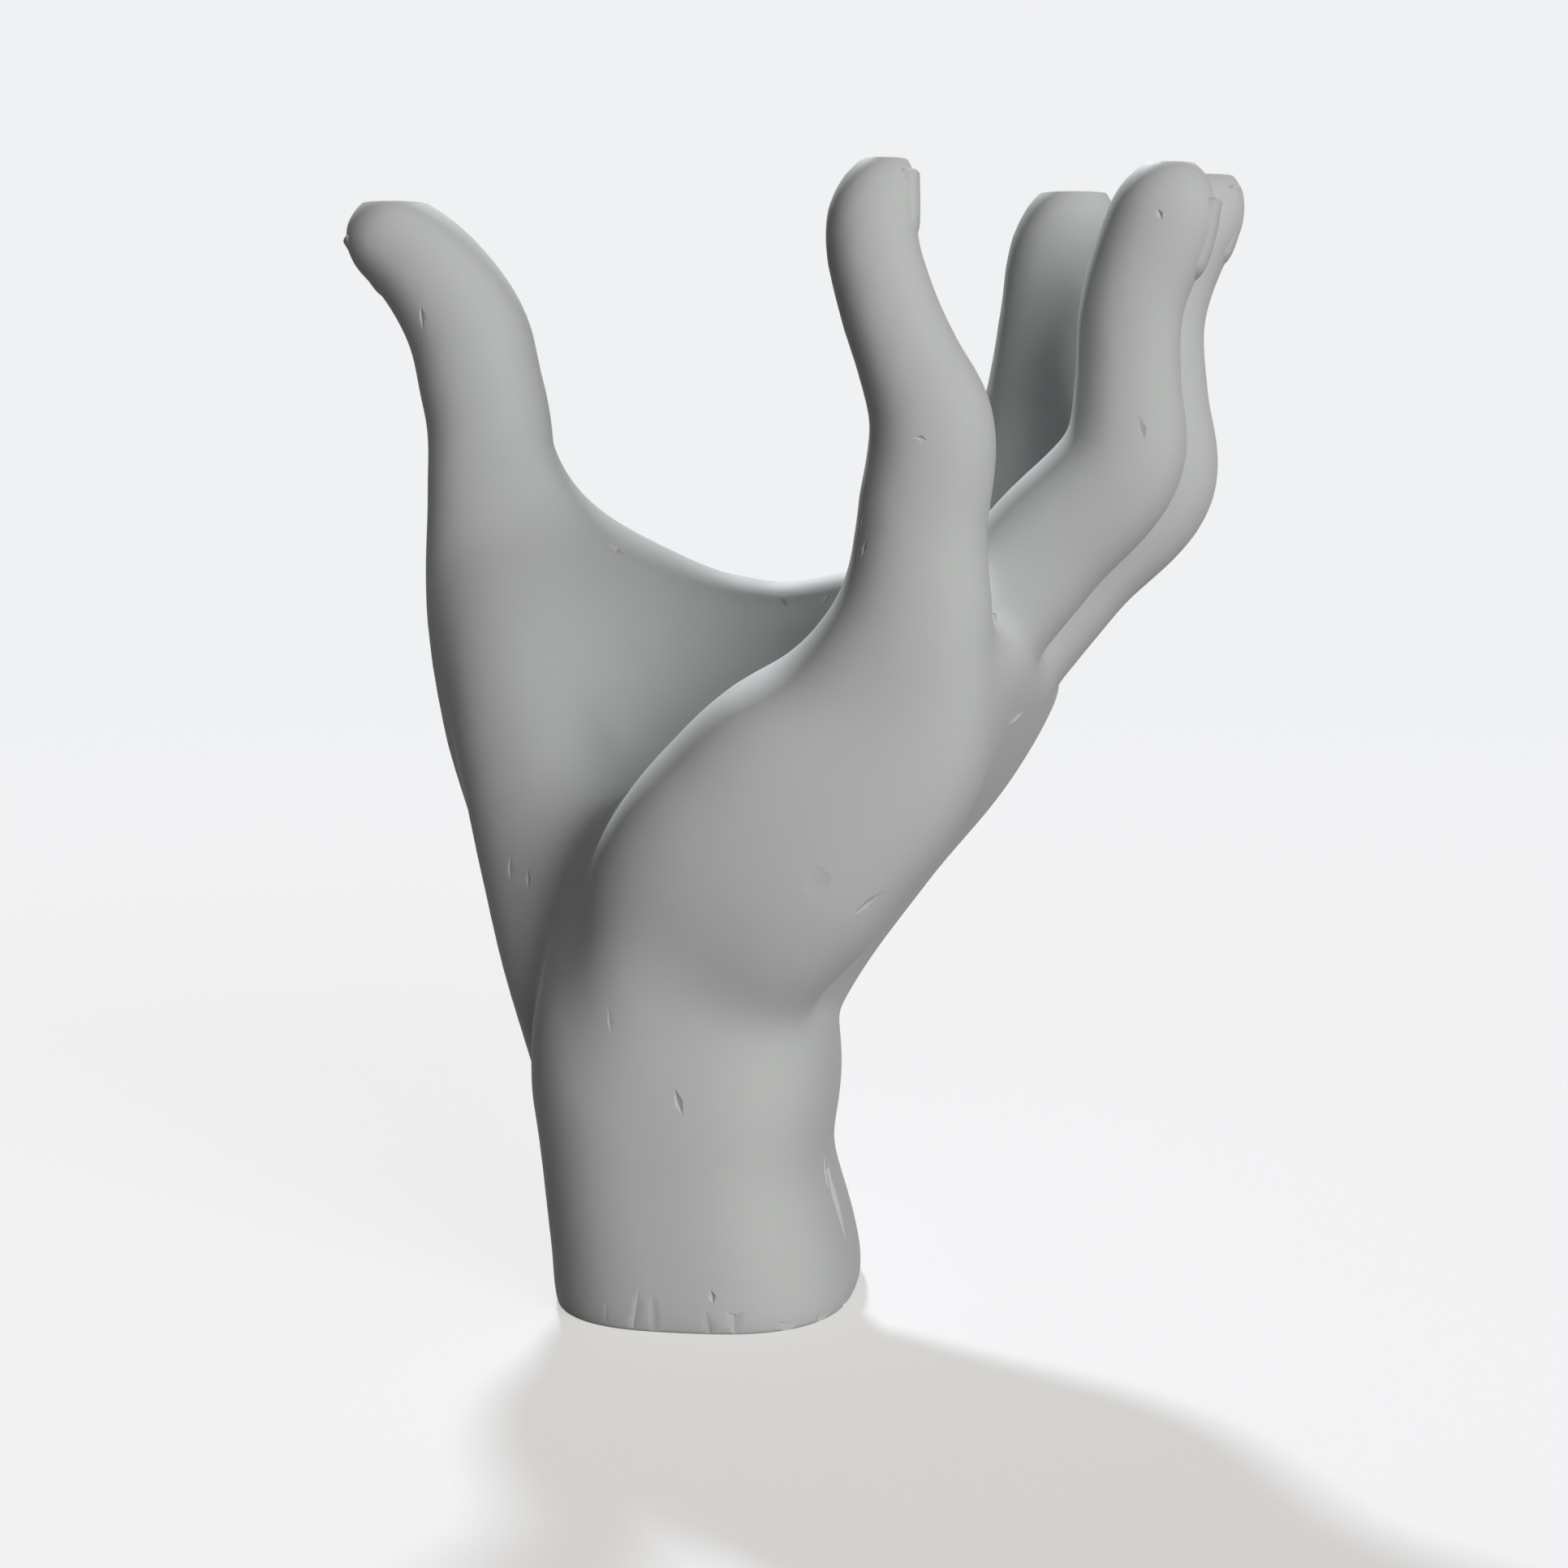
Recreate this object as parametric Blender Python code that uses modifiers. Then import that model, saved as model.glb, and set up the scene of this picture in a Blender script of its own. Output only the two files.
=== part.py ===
"""Watch stand: a cupped left hand on its cut wrist, cast in one piece.

Lengths are in millimetres until they are built. +Z is up, the palm faces -X and the little finger is
on the -Y side. The origin is the middle of the flat foot.
"""

import math
from collections import namedtuple

import bmesh
import bpy
import numpy as np

MM = 0.001

# Driving sizes
STAND_HEIGHT = 180.0
FOOT_DEPTH = 49.4
FOOT_BREADTH = 56.0
LITTLE_SPREAD = 28.0
THUMB_SPREAD = 48.0
NAIL_THICKNESS = 2.4
ROOT_LIFT = 0.1
NAIL_CROWN = 0.45
CUT_MARGIN = 8.0

# Fineness of the shape while its limbs are fused, and of the finished solid
VOXEL = 1.2
SIDES = 40
RINGS_PER_MM = 1.2
FIRST_SMOOTHING = 6
LAST_SMOOTHING = 5
FILL_STEPS = 300
SOLID_SHARE = 0.055

# A digit runs from its heel in the palm over its knuckle. Each bone is (length, tilt from upright towards
# the palm side, lean towards +Y), and the last one's length is how far above the level cut it would end.
# Each girth is (half thickness, half breadth) at heel, knuckle, mid bone, joint, mid bone, joint and pad.
# The tip keeps a share of the pad's girth.
# The nail is (distance of its edge below the tip, length, half breadth, how far its edge stands proud).
Digit = namedtuple("Digit", "name heel knuckle palm_side bones girths pad tip_shift tip_share tip_round nail")

# A mass is a fleshy part. Each station is (centre, half thickness, half breadth along the side).
Mass = namedtuple("Mass", "name side power stations")

# Within its reach of the centre, a fillet rounds each crease to at least its radius, and softens folds.
Fillet = namedtuple("Fillet", "centre reach radius softening")

DIGITS = (
    Digit(
        name="little",
        heel=(6, -15, 62),
        knuckle=(31.5, -LITTLE_SPREAD, 107),
        palm_side=180,
        bones=((35.0, -4.8, -3), (18.5, 20.9, 3), (1.4, 2.2, 7)),
        girths=((9, 8), (12.8, 11), (10.2, 9.4), (9.3, 9.2), (7.9, 8.2), (7.3, 7.8), (6.9, 7.4)),
        pad=1.8,
        tip_shift=2.6,
        tip_share=0.93,
        tip_round=12,
        nail=(3.4, 11.4, 4.4, 0.6),
    ),
    Digit(
        name="ring",
        heel=(9, -5, 60),
        knuckle=(41.8, -10, 107.8),
        palm_side=180,
        bones=((37.4, -39, -9.5), (22.4, -1.6, -5), (1.0, -15.0, -5)),
        girths=((9, 8), (10.5, 11), (10.2, 10), (9.5, 9.8), (8.1, 8.8), (7.9, 8.4), (8.3, 8.1)),
        pad=-0.6,
        tip_shift=2.0,
        tip_share=0.93,
        tip_round=10.5,
        nail=(4.4, 13.6, 5.0, -0.2),
    ),
    Digit(
        name="middle",
        heel=(10, 5, 58),
        knuckle=(47.7, 8, 102.6),
        palm_side=180,
        bones=((39.3, -40, -4), (25.4, 2.2, -2), (1.05, -17.6, -4)),
        girths=((9, 8), (10, 11.5), (9.6, 10), (9.6, 10), (8.3, 9), (8.1, 8.6), (8.0, 8.2)),
        pad=0,
        tip_shift=4.0,
        tip_share=0.93,
        tip_round=9.5,
        nail=(1.1, 13.6, 5.2, -1.9),
    ),
    Digit(
        name="index",
        heel=(7, 14, 56),
        knuckle=(48, 27, 103),
        palm_side=180,
        bones=((34.3, -10.2, 6.7), (24.1, -8.7, 9.5), (1.7, -12.6, 7.6)),
        girths=((9, 8), (11, 11.5), (9.6, 9.9), (9.4, 9.9), (8.3, 8.8), (8.1, 8.4), (7.9, 8.0)),
        pad=0.8,
        tip_shift=3.9,
        tip_share=0.93,
        tip_round=10,
        nail=(3.7, 12.5, 5.0, -0.2),
    ),
    Digit(
        name="thumb",
        heel=(-18, 20, 50),
        knuckle=(-38.5, THUMB_SPREAD, 116),
        palm_side=0,
        bones=((27.0, -3.3, 15), (14.5, -12.5, 8), (-1.0, -34, 6)),
        girths=((14, 14), (12.7, 13), (11.3, 12.2), (11, 12), (10.9, 12), (10.8, 12), (9.7, 11.4)),
        pad=0.9,
        tip_shift=5.2,
        tip_share=0.78,
        tip_round=8,
        nail=(0.2, 14, 5.0, 0.3),
    ),
)

MASSES = (
    Mass(
        name="forearm",
        side=(0.15, 1, 0),
        power=2.7,
        stations=(
            ((0.4, 0, -CUT_MARGIN), FOOT_DEPTH / 2, FOOT_BREADTH / 2),
            ((0.4, 0, 0), FOOT_DEPTH / 2, FOOT_BREADTH / 2),
            ((-2.7, 0, 22), 23.0, 27.5),
            ((-3, 0, 37), 24.6, 28),
            ((-4, 0, 49), 23.5, 27.8),
            ((-5, 0, 60), 20, 25),
        ),
    ),
    Mass(
        name="palm",
        side=(0.28, 0.96, -0.05),
        power=2.6,
        stations=(
            ((4, 1, 46), 15, 28),
            ((7.5, 1, 52), 14.2, 30),
            ((24, 2, 74), 12.7, 33.5),
            ((37.5, 2, 91), 12.6, 36),
            ((45.5, 2, 102.5), 11.2, 34.5),
            ((50, 2, 109), 9.5, 32),
        ),
    ),
    Mass(
        name="palm_heel",
        side=(0.1, 1, 0),
        power=2.3,
        stations=(
            ((-7.5, 0, 34), 18, 25),
            ((-8.5, 1, 52), 17.5, 24),
            ((-6, 4, 68), 15, 20),
            ((-2, 10, 80), 10.5, 14),
        ),
    ),
    Mass(
        name="little_heel",
        side=(0.1, 1, 0),
        power=2.7,
        stations=(
            ((-1.8, -12.9, 57), 20, 14.6),
            ((3.2, -17.4, 67), 21.8, 17),
            ((13, -20, 79), 22, 17.5),
            ((27.5, 4 - LITTLE_SPREAD, 96.5), 18.4, 14.5),
            ((30.5, 1 - LITTLE_SPREAD, 108), 14, 11.5),
            ((31, -LITTLE_SPREAD, 118), 9.8, 9.4),
        ),
    ),
    Mass(
        name="heel_flow",
        side=(0.1, 1, 0),
        power=2.2,
        stations=(
            ((-9.5, -10, 40), 13.5, 17),
            ((-8.2, -12, 54), 13.2, 17.5),
            ((-4.2, -13.5, 65), 13, 17.5),
            ((1, -15, 76), 12, 17),
        ),
    ),
    Mass(
        name="thumb_heel",
        side=(0.3, 1, 0),
        power=2.3,
        stations=(
            ((-12, 12, 24), 14, 15),
            ((-18.7, 20, 50), 15.6, 17),
            ((-26.6, 30, 80), 14.6, 18),
            ((-33, THUMB_SPREAD - 8, 103), 14, 16),
            ((-38, THUMB_SPREAD, 118), 12, 13),
        ),
    ),
    Mass(
        name="thumb_root",
        side=(0.2, 1, 0),
        power=2,
        stations=(
            ((-4, 15, 42), 11, 10),
            ((-3, 19.5, 56), 12, 11),
            ((-2, 21.5, 68), 12, 11),
            ((0, 22, 82), 10, 10),
        ),
    ),
    Mass(
        name="thumb_web",
        side=(0.1, 0.42, 1),
        power=2.6,
        stations=(
            ((-39, THUMB_SPREAD - 4, 108), 14, 20),
            ((-28, THUMB_SPREAD - 6, 102), 14, 22),
            ((-17.5, 39, 95.5), 13, 23),
            ((-8.5, 37, 92), 11, 23.2),
            ((2, 34, 89), 9.5, 23.6),
            ((12, 31, 88), 9, 24),
            ((25, 28, 93), 9, 21.5),
            ((40, 28, 100), 10, 16),
        ),
    ),
    Mass(
        name="web_rim",
        side=(0, 1, 0),
        power=2,
        stations=(
            ((-38, THUMB_SPREAD + 1, 140), 8, 9),
            ((-33.9, THUMB_SPREAD + 1.5, 131.7), 8, 10),
            ((-28.4, THUMB_SPREAD + 1.5, 123.8), 8, 10),
            ((-20.9, THUMB_SPREAD + 1, 118.2), 8, 10),
            ((-12.0, THUMB_SPREAD - 1, 113.6), 8, 9.5),
            ((-0.9, 44, 108.4), 8, 8.5),
            ((11.8, 40, 105.9), 8, 8.5),
            ((23.8, 36.5, 107.8), 8, 9),
            ((37, 31, 111.5), 8.5, 7.5),
            ((47, 29, 115), 7, 6),
        ),
    ),
)

FILLETS = (
    Fillet(centre=(-26, THUMB_SPREAD - 10, 112), reach=34, radius=16, softening=0.2),
    Fillet(centre=(-14, 2, 62), reach=34, radius=24, softening=0.12),
    Fillet(centre=(36, 2 - LITTLE_SPREAD, 82), reach=32, radius=16, softening=0.1),
    Fillet(centre=(-5, -26, 57), reach=28, radius=26, softening=0.16),
    Fillet(centre=(12, -29, 58), reach=17, radius=18, softening=0.14),
    Fillet(centre=(5, 30, 62), reach=32, radius=18, softening=0.12),
    Fillet(centre=(-14, 24, 36), reach=30, radius=26, softening=0.16),
    Fillet(centre=(38, 36, 110), reach=18, radius=10, softening=0.12),
    Fillet(centre=(54, 2, 92), reach=20, radius=9, softening=0),
    Fillet(centre=(20, -LITTLE_SPREAD, 110), reach=22, radius=20, softening=0.12),
)


def smooth_path(rows, count):
    """Rows of numbers run through by a cubic curve, and how far along it each of its points is."""
    reach = np.concatenate([[0], np.cumsum(np.linalg.norm(np.diff(rows[:, :3], axis=0), axis=1))])
    slopes = np.gradient(rows, reach, axis=0)
    at = np.linspace(0, reach[-1], count)
    part = np.clip(np.searchsorted(reach, at, side="right") - 1, 0, len(rows) - 2)
    span = np.diff(reach)[part]
    t = ((at - reach[part]) / span)[:, None]
    span = span[:, None]
    path = (2 * t**3 - 3 * t**2 + 1) * rows[part] + (3 * t**2 - 2 * t**3) * rows[part + 1]
    path += (t**3 - 2 * t**2 + t) * span * slopes[part] + (t**3 - t**2) * span * slopes[part + 1]
    return path, at


def end_rounding(at, start, end):
    """How much of its girth a limb keeps at each place, with an elliptical cap at either end."""
    into_end = np.clip((at - at[-1] + end) / end, 0, 1)
    into_start = np.clip((start - at) / start, 0, 1)
    return np.sqrt(np.clip(1 - into_end**2, 1e-4, 1) * np.clip(1 - into_start**2, 1e-4, 1))


def limb(bm, stations, side, power, start, end):
    """Adds a closed tube: a superellipse carried along the path of the stations."""
    rows = np.array([(*centre, thick, broad) for centre, thick, broad in stations], float)
    length = np.linalg.norm(np.diff(rows[:, :3], axis=0), axis=1).sum()
    path, at = smooth_path(rows, max(8, round(length * RINGS_PER_MM)))
    kept = end_rounding(at, start, end)
    centre = path[:, :3]
    along = np.gradient(centre, axis=0)
    along /= np.linalg.norm(along, axis=1)[:, None]
    across = np.asarray(side, float) - (along @ np.asarray(side, float))[:, None] * along
    across /= np.linalg.norm(across, axis=1)[:, None]
    outward = np.cross(across, along)
    turn = np.linspace(0, 2 * math.pi, SIDES, endpoint=False)
    c = np.sign(np.cos(turn)) * np.abs(np.cos(turn)) ** (2 / power)
    s = np.sign(np.sin(turn)) * np.abs(np.sin(turn)) ** (2 / power)
    thick = outward[:, None] * (path[:, 3] * kept)[:, None, None] * c[None, :, None]
    broad = across[:, None] * (path[:, 4] * kept)[:, None, None] * s[None, :, None]
    rings = [[bm.verts.new(p * MM) for p in ring] for ring in centre[:, None] + thick + broad]
    for low, high in zip(rings, rings[1:]):
        for i in range(SIDES):
            j = (i + 1) % SIDES
            bm.faces.new((low[i], low[j], high[j], high[i]))
    bm.faces.new(rings[0][::-1])
    bm.faces.new(rings[-1])


def palmward(digit):
    """The level direction in which a digit's palm side faces."""
    turn = math.radians(digit.palm_side)
    return np.array([math.cos(turn), math.sin(turn), 0])


def joints_of(digit):
    """Where the digit's knuckle, two joints and tip are."""
    joints = [np.array(digit.knuckle, float)]
    for length, tilt, lean in digit.bones:
        tilt, lean = math.radians(tilt), math.radians(lean)
        along = palmward(digit) * math.sin(tilt) * math.cos(lean)
        along += np.array([0, math.sin(lean), math.cos(tilt) * math.cos(lean)])
        if len(joints) == len(digit.bones):
            length = (STAND_HEIGHT + length - joints[-1][2]) / along[2]
        joints.append(joints[-1] + along * length)
    return joints


def digit_stations(digit):
    """The centres and girths of a digit, from its heel to its tip."""
    knuckle, second, last, tip = joints_of(digit)
    centres = [
        np.array(digit.heel, float),
        knuckle,
        (knuckle + second) / 2,
        second,
        (second + last) / 2,
        last,
        (last + tip) / 2 + palmward(digit) * digit.pad,
        tip - palmward(digit) * digit.tip_shift,
    ]
    thick, broad = digit.girths[-1]
    girths = [*digit.girths, (thick * digit.tip_share, broad * digit.tip_share)]
    return [(centre, *girth) for centre, girth in zip(centres, girths)]


def add_nail(bm, digit):
    """Adds a plate that stands a little proud of the back of the digit's last bone."""
    below, length, half_breadth, edge_lift = digit.nail
    last, tip = joints_of(digit)[2:]
    along = (tip - last) / np.linalg.norm(tip - last)
    back = (along @ palmward(digit)) * along - palmward(digit)
    back /= np.linalg.norm(back)
    depth = digit.girths[-1][0] - NAIL_THICKNESS
    pad = palmward(digit) * digit.pad
    stations = []
    for share, lift in zip((1, 0.5, 0), (ROOT_LIFT, NAIL_CROWN, edge_lift)):
        centre = tip - along * (below + length * share) + back * (depth + lift) + pad
        stations.append((centre, NAIL_THICKNESS, half_breadth))
    limb(bm, stations, (0, 1, 0), 2.6, 4, 0.6)


def object_from(bm, name, collection):
    """A new object that holds this mesh."""
    bmesh.ops.recalc_face_normals(bm, faces=bm.faces)
    mesh = bpy.data.meshes.new(name)
    bm.to_mesh(mesh)
    bm.free()
    made = bpy.data.objects.new(name, mesh)
    collection.objects.link(made)
    return made


def numbers_of(items, field, width, kind):
    """A field of a mesh's vertices, edges or loops as an array."""
    values = np.empty(len(items) * width, kind)
    items.foreach_get(field, values)
    return values.reshape(-1, width)


def fillets_at(points):
    """The least radius of a crease at each point, and how much a fold there is softened at each step."""
    radius = np.full(len(points), 2.0)
    softening = np.zeros(len(points))
    for fillet in FILLETS:
        away = np.linalg.norm(points - np.array(fillet.centre, float), axis=1) / fillet.reach
        share = np.clip(2 - 2 * away, 0, 1)
        radius = np.maximum(radius, fillet.radius * share)
        softening = np.maximum(softening, fillet.softening * share)
    return radius, softening


def vertex_sums(index, values, count):
    """Values added up for each vertex that the index names."""
    return np.stack([np.bincount(index, values[:, i], count) for i in range(values.shape[1])], axis=1)


def vertex_normals(points, corners):
    """Unit normals of a mesh of four-sided faces."""
    a, b, c, d = (points[corners[:, i]] for i in range(4))
    face = np.cross(c - a, d - b)
    normals = vertex_sums(corners.reshape(-1), np.repeat(face, 4, axis=0), len(points))
    return normals / np.linalg.norm(normals, axis=1)[:, None]


def fill_creases(mesh):
    """Raises each crease between the limbs until it is as round as the fillets ask.

    A vertex lies below the mean of its neighbours by about their squared distance over four radii.
    Where it lies lower, it is raised along its normal by most of the rest.
    """
    points = numbers_of(mesh.vertices, "co", 3, np.float32).astype(float) / MM
    edges = numbers_of(mesh.edges, "vertices", 2, np.int32)
    corners = numbers_of(mesh.loops, "vertex_index", 1, np.int32).reshape(-1, 4)
    starts = np.concatenate([edges[:, 0], edges[:, 1]])
    ends = np.concatenate([edges[:, 1], edges[:, 0]])
    radius, softening = fillets_at(points)
    near = (radius[starts] > 2) | (radius[ends] > 2)
    starts, ends = starts[near], ends[near]
    degree = np.maximum(np.bincount(starts, minlength=len(points)), 1)[:, None]
    for step in range(FILL_STEPS):
        if step % 20 == 0:
            normals = vertex_normals(points, corners)
        reach = points[ends] - points[starts]
        pull = vertex_sums(starts, reach, len(points)) / degree
        rise = (pull * normals).sum(axis=1)
        square = vertex_sums(starts, (reach**2).sum(axis=1)[:, None], len(points)) / degree
        excess = np.clip(rise - square[:, 0] / (4 * radius), 0, None)
        points += 0.8 * excess[:, None] * normals + softening[:, None] * pull
    mesh.vertices.foreach_set("co", (points * MM).astype(np.float32).reshape(-1))


def add_modifier(obj, name, kind, **settings):
    """Adds a modifier with these settings."""
    modifier = obj.modifiers.new(name, kind)
    for setting, value in settings.items():
        setattr(modifier, setting, value)
    return modifier


def baked(obj):
    """The object's mesh with its modifiers carried out, in their place."""
    bpy.context.view_layer.update()
    graph = bpy.context.evaluated_depsgraph_get()
    mesh = bpy.data.meshes.new_from_object(obj.evaluated_get(graph))
    obj.modifiers.clear()
    obj.data = mesh
    return mesh


def add_hand(collection):
    """All the limbs fused into one mesh, with their creases filled."""
    bm = bmesh.new()
    for mass in MASSES:
        limb(bm, mass.stations, mass.side, mass.power, 6, 6)
    for digit in DIGITS:
        limb(bm, digit_stations(digit), (0, 1, 0), 2.3, 4, digit.tip_round)
    hand = object_from(bm, "hand", collection)
    add_modifier(hand, "fuse", "REMESH", mode="VOXEL", voxel_size=VOXEL * MM)
    add_modifier(hand, "soften", "SMOOTH", factor=0.5, iterations=FIRST_SMOOTHING)
    fill_creases(baked(hand))
    add_modifier(hand, "even", "SMOOTH", factor=0.5, iterations=LAST_SMOOTHING)
    add_modifier(hand, "lighten", "DECIMATE", ratio=SOLID_SHARE)
    return hand


def add_nails(collection):
    """The five nails, as one helper mesh."""
    bm = bmesh.new()
    for digit in DIGITS:
        add_nail(bm, digit)
    return object_from(bm, "nails", collection)


def add_level_block(collection):
    """A block from the foot to the height of the stand, which the hand is cut to."""
    bm = bmesh.new()
    bmesh.ops.create_cube(bm, size=1)
    bmesh.ops.scale(bm, vec=(0.3, 0.3, STAND_HEIGHT * MM), verts=bm.verts)
    bmesh.ops.translate(bm, vec=(0, 0, STAND_HEIGHT * MM / 2), verts=bm.verts)
    return object_from(bm, "level_block", collection)


def cast_grey():
    """The matte light grey of the casting."""
    material = bpy.data.materials.new("cast_grey")
    material.use_nodes = True
    shader = material.node_tree.nodes["Principled BSDF"]
    shader.inputs["Base Color"].default_value = (0.42, 0.43, 0.425, 1)
    shader.inputs["Roughness"].default_value = 0.6
    shader.inputs["Metallic"].default_value = 0
    return material


def main():
    for old in list(bpy.data.objects):
        bpy.data.objects.remove(old)
    stand = bpy.data.collections.new("watch_stand")
    cutters = bpy.data.collections.new("cutters")
    for collection in (stand, cutters):
        bpy.context.scene.collection.children.link(collection)
    hand = add_hand(stand)
    helpers = [add_nails(cutters), add_level_block(cutters)]
    for helper, operation in zip(helpers, ("UNION", "INTERSECT")):
        helper.hide_render = True
        helper.display_type = "WIRE"
        add_modifier(hand, helper.name, "BOOLEAN", operation=operation, object=helper, solver="EXACT")
    hand.data.materials.clear()
    hand.data.materials.append(cast_grey())
    hand.data.shade_smooth()


main()
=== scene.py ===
"""The looks of a watch stand: a cupped left hand on its cut wrist, cast in one piece in matte grey.

The frame is in metres. +Z is up, the palm faces -X, the little finger is on the -Y side, and the origin is
the middle of the foot. The tables of the shape are in millimetres.
"""

import math
from collections import namedtuple

import bmesh
import bpy
import numpy as np
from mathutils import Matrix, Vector
from mathutils.bvhtree import BVHTree


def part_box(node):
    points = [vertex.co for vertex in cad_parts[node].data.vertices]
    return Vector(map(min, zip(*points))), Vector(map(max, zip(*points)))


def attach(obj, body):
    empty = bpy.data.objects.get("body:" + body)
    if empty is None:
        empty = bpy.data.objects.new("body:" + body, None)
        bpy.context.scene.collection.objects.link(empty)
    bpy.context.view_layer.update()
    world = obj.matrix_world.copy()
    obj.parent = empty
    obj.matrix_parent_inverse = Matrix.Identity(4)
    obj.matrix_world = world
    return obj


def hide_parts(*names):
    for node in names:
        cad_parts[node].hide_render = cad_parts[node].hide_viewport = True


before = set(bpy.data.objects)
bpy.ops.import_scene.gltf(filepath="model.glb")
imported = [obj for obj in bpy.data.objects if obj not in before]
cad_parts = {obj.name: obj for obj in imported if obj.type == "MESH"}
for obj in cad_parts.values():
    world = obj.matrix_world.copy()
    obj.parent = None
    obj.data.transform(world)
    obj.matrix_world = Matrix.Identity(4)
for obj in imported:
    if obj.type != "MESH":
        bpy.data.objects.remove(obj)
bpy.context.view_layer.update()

bl_info = {
    "name": "Cupped Hand Watch Stand",
    "version": (1, 0, 0),
    "blender": (4, 5, 0),
    "location": "3D View > Sidebar > Watch Stand",
    "description": "Builds a cast hand that holds a watch, the nicks of its casting and its stage",
    "category": "Object",
}

MM = 0.001

# Sizes that the tables of the shape share, in millimetres
FOOT_DEPTH = 49.4
FOOT_BREADTH = 56.0
LITTLE_SPREAD = 28.0
THUMB_SPREAD = 48.0
CUT_MARGIN = 8.0

# Fineness of the surfaces
SIDES = 48
NAIL_SIDES = 72
RINGS_PER_MM = 1.2
NAIL_RINGS_PER_MM = 3.0
CREASE_RADIUS = 2.0
RAISED_SHARE = 0.8
NORMALS_EVERY = 20
CRISP_ANGLE = math.radians(32)
FOOT_LOOPS = (0.02, 0.07, 0.16, 0.3, 0.55, 1.0)

# The powers of the rings, and how long their rounded ends are in millimetres
DIGIT_POWER = 2.3
DIGIT_START = 4
NAIL_POWER = 2.6
NAIL_ROOT = 4
NAIL_EDGE = 0.6
MASS_ENDS = 6
FOOT_POWER = 2.7

# The kite of a nick's cutter: its reach along as a share of the nick's length, its reach across as a share
# of half its width, and its height over the surface as a share of its depth
KITE_REACH = 0.68
KITE_BREADTH = 1.35
KITE_HEIGHT = 0.35

# Chips are drawn round the back and the sides of the foot, between these two turns in degrees
CHIPS_FROM = -30
CHIPS_TO = 205

# The finish: patches and grains to a metre, and how far the roughness drifts with the patches
PATCH_SCALE = 45.0
GRAIN_SCALE = 1600.0
ROUGHNESS_DRIFT = 0.12
SHEEN_LEVEL = 0.12

# The floor: its radius and its sides, where its own colour ends, and its tone to light that goes on
FLOOR_RADIUS = 8.0
FLOOR_SIDES = 64
NEAR_FLOOR = 0.35
FAR_FLOOR = 1.2
DARK_TONE = 0.05

# A digit runs from its heel in the palm over its knuckle. Each bone is (length, tilt from upright towards
# the palm side, lean towards +Y), and the last one's length is how far above the level cut it would end.
# Each girth is (half thickness, half breadth) at heel, knuckle, mid bone, joint, mid bone, joint and pad.
# The tip keeps a share of the pad's girth.
# The nail is (distance of its edge below the tip, length, half breadth, how far its edge stands proud).
Digit = namedtuple(
    "Digit", "name heel knuckle palm_side bones girths pad tip_shift tip_share tip_round nail"
)

# A mass is a fleshy part. Each station is (centre, half thickness, half breadth along the side).
Mass = namedtuple("Mass", "name side power stations")

# Within its reach of the centre, a fillet rounds each crease to at least its radius, and softens folds.
Fillet = namedtuple("Fillet", "centre reach radius softening")

# A nick is a hollow with four slanting sides. It runs between two points of the surface, or from below the
# foot's edge where it is a chip. Its deepest point lies aside of their line by a share of half the width.
Nick = namedtuple("Nick", "start end width depth aside")

DIGITS = (
    Digit(
        name="little",
        heel=(6, -15, 62),
        knuckle=(31.5, -LITTLE_SPREAD, 107),
        palm_side=180,
        bones=((35.0, -4.8, -3), (18.5, 20.9, 3), (1.4, 2.2, 7)),
        girths=((9, 8), (12.8, 11), (10.2, 9.4), (9.3, 9.2), (7.9, 8.2), (7.3, 7.8), (6.9, 7.4)),
        pad=1.8,
        tip_shift=2.6,
        tip_share=0.93,
        tip_round=12,
        nail=(3.4, 11.4, 4.4, 0.6),
    ),
    Digit(
        name="ring",
        heel=(9, -5, 60),
        knuckle=(41.8, -10, 107.8),
        palm_side=180,
        bones=((37.4, -39, -9.5), (22.4, -1.6, -5), (1.0, -15.0, -5)),
        girths=((9, 8), (10.5, 11), (10.2, 10), (9.5, 9.8), (8.1, 8.8), (7.9, 8.4), (8.3, 8.1)),
        pad=-0.6,
        tip_shift=2.0,
        tip_share=0.93,
        tip_round=10.5,
        nail=(4.4, 13.6, 5.0, -0.2),
    ),
    Digit(
        name="middle",
        heel=(10, 5, 58),
        knuckle=(47.7, 8, 102.6),
        palm_side=180,
        bones=((39.3, -40, -4), (25.4, 2.2, -2), (1.05, -17.6, -4)),
        girths=((9, 8), (10, 11.5), (9.6, 10), (9.6, 10), (8.3, 9), (8.1, 8.6), (8.0, 8.2)),
        pad=0,
        tip_shift=4.0,
        tip_share=0.93,
        tip_round=9.5,
        nail=(1.1, 13.6, 5.2, -1.9),
    ),
    Digit(
        name="index",
        heel=(7, 14, 56),
        knuckle=(48, 27, 103),
        palm_side=180,
        bones=((34.3, -10.2, 6.7), (24.1, -8.7, 9.5), (1.7, -12.6, 7.6)),
        girths=((9, 8), (11, 11.5), (9.6, 9.9), (9.4, 9.9), (8.3, 8.8), (8.1, 8.4), (7.9, 8.0)),
        pad=0.8,
        tip_shift=3.9,
        tip_share=0.93,
        tip_round=10,
        nail=(3.7, 12.5, 5.0, -0.2),
    ),
    Digit(
        name="thumb",
        heel=(-18, 20, 50),
        knuckle=(-38.5, THUMB_SPREAD, 116),
        palm_side=0,
        bones=((27.0, -3.3, 15), (14.5, -12.5, 8), (-1.0, -34, 6)),
        girths=((14, 14), (12.7, 13), (11.3, 12.2), (11, 12), (10.9, 12), (10.8, 12), (9.7, 11.4)),
        pad=0.9,
        tip_shift=5.2,
        tip_share=0.78,
        tip_round=8,
        nail=(0.2, 14, 5.0, 0.3),
    ),
)

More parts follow.
